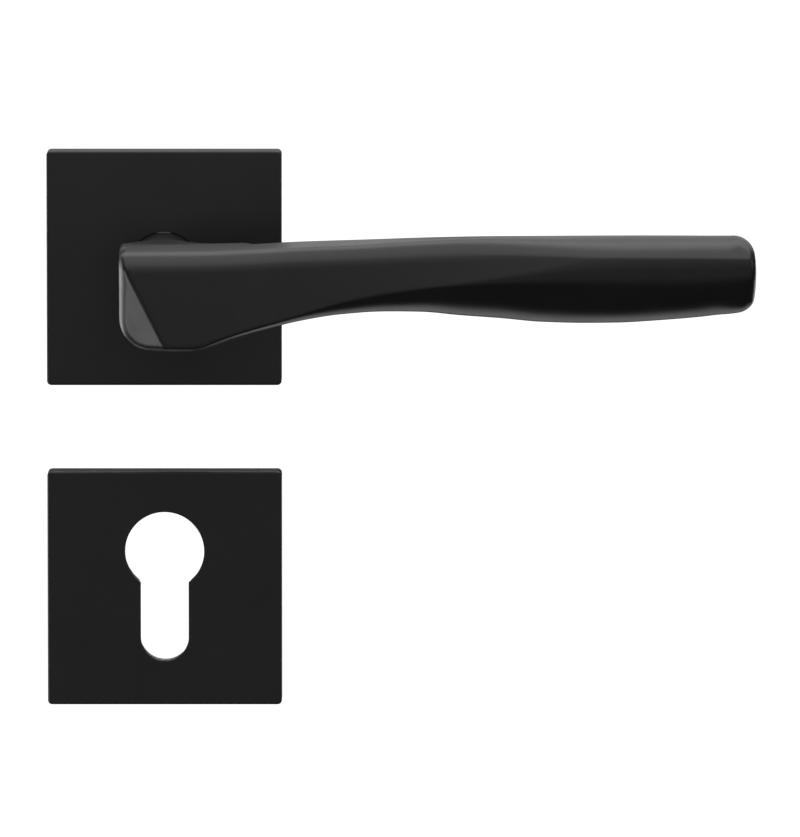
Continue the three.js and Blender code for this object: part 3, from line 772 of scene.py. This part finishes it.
# Each uncoated material: the material's name, dark and light colour, roughness and the scale of its grain
UNCOATED = {
    "zinc_casting": ("raw_zinc", (0.30, 0.31, 0.32), (0.40, 0.41, 0.42), 0.5, 2600),
    "spindle_steel": ("plated_bar", (0.42, 0.43, 0.44), (0.56, 0.57, 0.58), 0.34, 900),
    "plated_steel": ("bright_plate", (0.50, 0.51, 0.52), (0.62, 0.63, 0.64), 0.3, 700),
    "spring_steel": ("spring_wire", (0.16, 0.165, 0.175), (0.24, 0.245, 0.255), 0.32, 2600),
    "black_oxide": ("black_oxide", (0.02, 0.02, 0.021), (0.035, 0.035, 0.037), 0.4, 2600),
    "nylon": ("nylon", (0.62, 0.60, 0.54), (0.70, 0.68, 0.62), 0.5, 1500),
}
# What sets one of them apart: a stronger or weaker bump, grain drawn out along the bar, or no metal
SPECIAL = {
    "zinc_casting": {"strength": 0.35},
    "spindle_steel": {"stretch": (1, 0.06, 1)},
    "plated_steel": {"strength": 0.04},
    "nylon": {"metallic": 0.0},
}


def make_materials():
    materials = {"black_coating": coated_material()}
    for slot, look in UNCOATED.items():
        materials[slot] = grained_material(*look, **SPECIAL.get(slot, {}))
    return materials


# ---------------------------------------------------------------- assembly


def dress(obj, material):
    obj.data.materials.clear()
    obj.data.materials.append(material)


def build_object():
    materials = make_materials()
    slots = {s["node"]: s["material_slot"] for s in frame["record"]["subparts"]}
    for name, node in frame["nodes"].items():
        dress(node, materials[slots[name]])
    lever = build_lever()
    rose = build_cover("rose_face", round_outline, (0, 0), 0)
    plate = build_cover("escutcheon_face", profile_outline, (0, PROFILE_UP - 6), PLATE_CENTRE)
    collar, journal = build_journal()
    for piece, slot in ((collar, "black_coating"), (journal, "zinc_casting")):
        dress(piece, materials[slot])
        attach(piece, "lever")
    shown = ((lever, "lever", "lever_handle"), (rose, "rose_cover", "rose_cover"),
             (plate, "escutcheon_cover", "escutcheon_cover"))
    for piece, body, node in shown:
        dress(piece, materials["black_coating"])
        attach(piece, body)
        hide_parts(node)
    spring = build_spring()
    dress(spring, materials["spring_steel"])
    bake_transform(spring)
    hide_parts("return_spring")
    for node in ("rose_screw_lower", "rose_screw_upper", "escutcheon_screw_left", "escutcheon_screw_right"):
        thread = build_thread(node + "_thread", node, **WOOD_THREAD)
        dress(thread, materials["plated_steel"])
        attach(thread, "door_side")
    for side in ("left", "right"):
        sleeve = build_sleeve("bolt_sleeve_" + side)
        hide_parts("bolt_sleeve_" + side)
        bolt = "through_bolt_" + side
        thread = build_thread(bolt + "_thread", bolt, **BOLT_THREAD)
        for piece in (sleeve, thread):
            dress(piece, materials["plated_steel"])
            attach(piece, "door_side")


# ---------------------------------------------------------------- studio

# Soft lamps: name, place, where it points, size and power in watts
LAMPS = (
    ("over_back", (0.05, 0.17, 0.42), (0.05, -0.04, 0), (0.7, 0.2), 0.95),
    ("back_high", (0.05, 0.42, 0.28), (0.05, -0.04, 0), (0.9, 0.3), 0.8),
    ("overhead", (0.05, -0.04, 0.42), (0.05, -0.04, 0), (0.7, 0.2), 0.5),
    ("top_front", (0.05, -0.27, 0.38), (0.05, -0.04, 0), (0.7, 0.32), 0.95),
    ("front_mid", (0.05, -0.85, 0.36), (0.05, 0, 0), (1.0, 0.45), 0.75),
    ("front_low", (0.36, -1.6, 0.02), (0.05, 0, 0), (1.2, 0.5), 0.76),
    ("front_under", (0.1, -1.5, -0.68), (0.03, 0, 0), (2.4, 0.5), 1.0),
    ("front_right", (1.2, -0.75, 0.2), (0.05, 0, 0), (0.8, 0.8), 1.6),
    ("left_side", (-0.45, 0.14, -0.02), (0, -0.03, 0), (0.4, 0.4), 0.85),
    ("left_low", (-0.42, -0.24, -0.2), (0, 0, 0), (0.24, 0.24), 0.6),
    ("under_back", (0.05, 0.22, -0.36), (0.06, -0.04, 0), (0.7, 0.3), 0.55),
    ("back_left", (-1.0, 1.0, -0.32), (0, 0, -0.03), (0.9, 0.6), 3),
    ("back_right", (1.0, 1.0, -0.32), (0, 0, -0.03), (0.9, 0.6), 3),
)
FLOOR_DROP = 0.16
FLOOR_REACH = 30.0
CAMERA_ELEVATION = 5.5
CAMERA_DISTANCE = 2.5
FRAME_HEIGHT = 0.186
PICTURE_CENTRE = (0.0522, 0.0, -0.03415)


def area_light(name, place_at, target, size, power):
    data = bpy.data.lights.new(name, "AREA")
    data.energy = power
    data.shape = "RECTANGLE"
    data.size, data.size_y = size
    light = bpy.data.objects.new(name, data)
    light.visible_camera = False
    light.location = place_at
    light.rotation_euler = (Vector(target) - Vector(place_at)).to_track_quat("-Z", "Y").to_euler()
    scene.collection.objects.link(light)


def build_studio():
    mesh = bpy.data.meshes.new("floor")
    z = cad_box[0][2] - FLOOR_DROP
    corners = [(-FLOOR_REACH, -FLOOR_REACH, z), (FLOOR_REACH, -FLOOR_REACH, z)]
    corners += [(FLOOR_REACH, FLOOR_REACH, z), (-FLOOR_REACH, FLOOR_REACH, z)]
    mesh.from_pydata(corners, [], [(0, 1, 2, 3)])
    floor = bpy.data.objects.new("floor", mesh)
    scene.collection.objects.link(floor)
    material, tree, shader = new_material("pale_floor")
    shader.inputs["Base Color"].default_value = (0.58, 0.58, 0.58, 1)
    shader.inputs["Roughness"].default_value = 0.9
    shader.inputs["Emission Color"].default_value = (1, 1, 1, 1)
    shader.inputs["Emission Strength"].default_value = 1.1
    floor.visible_glossy = False
    floor.visible_diffuse = False
    floor.visible_shadow = False
    mesh.materials.append(material)

    world = bpy.data.worlds.new("studio")
    world.use_nodes = True
    world.node_tree.nodes["Background"].inputs["Color"].default_value = (1, 1, 1, 1)
    world.node_tree.nodes["Background"].inputs["Strength"].default_value = 0.03
    scene.world = world

    for lamp in LAMPS:
        area_light(*lamp)


def build_camera():
    data = bpy.data.cameras.new("camera")
    data.sensor_fit = "VERTICAL"
    data.sensor_height = 36
    data.lens = 36 * CAMERA_DISTANCE / FRAME_HEIGHT
    data.clip_end = 200
    camera = bpy.data.objects.new("camera", data)
    tilt = math.radians(CAMERA_ELEVATION)
    camera.location = Vector(PICTURE_CENTRE) + CAMERA_DISTANCE * Vector((0, -math.cos(tilt), math.sin(tilt)))
    camera.rotation_euler = (math.pi / 2 - tilt, 0, 0)
    scene.collection.objects.link(camera)
    scene.camera = camera


scene.view_settings.view_transform = "Standard"
build_object()
build_studio()
build_camera()
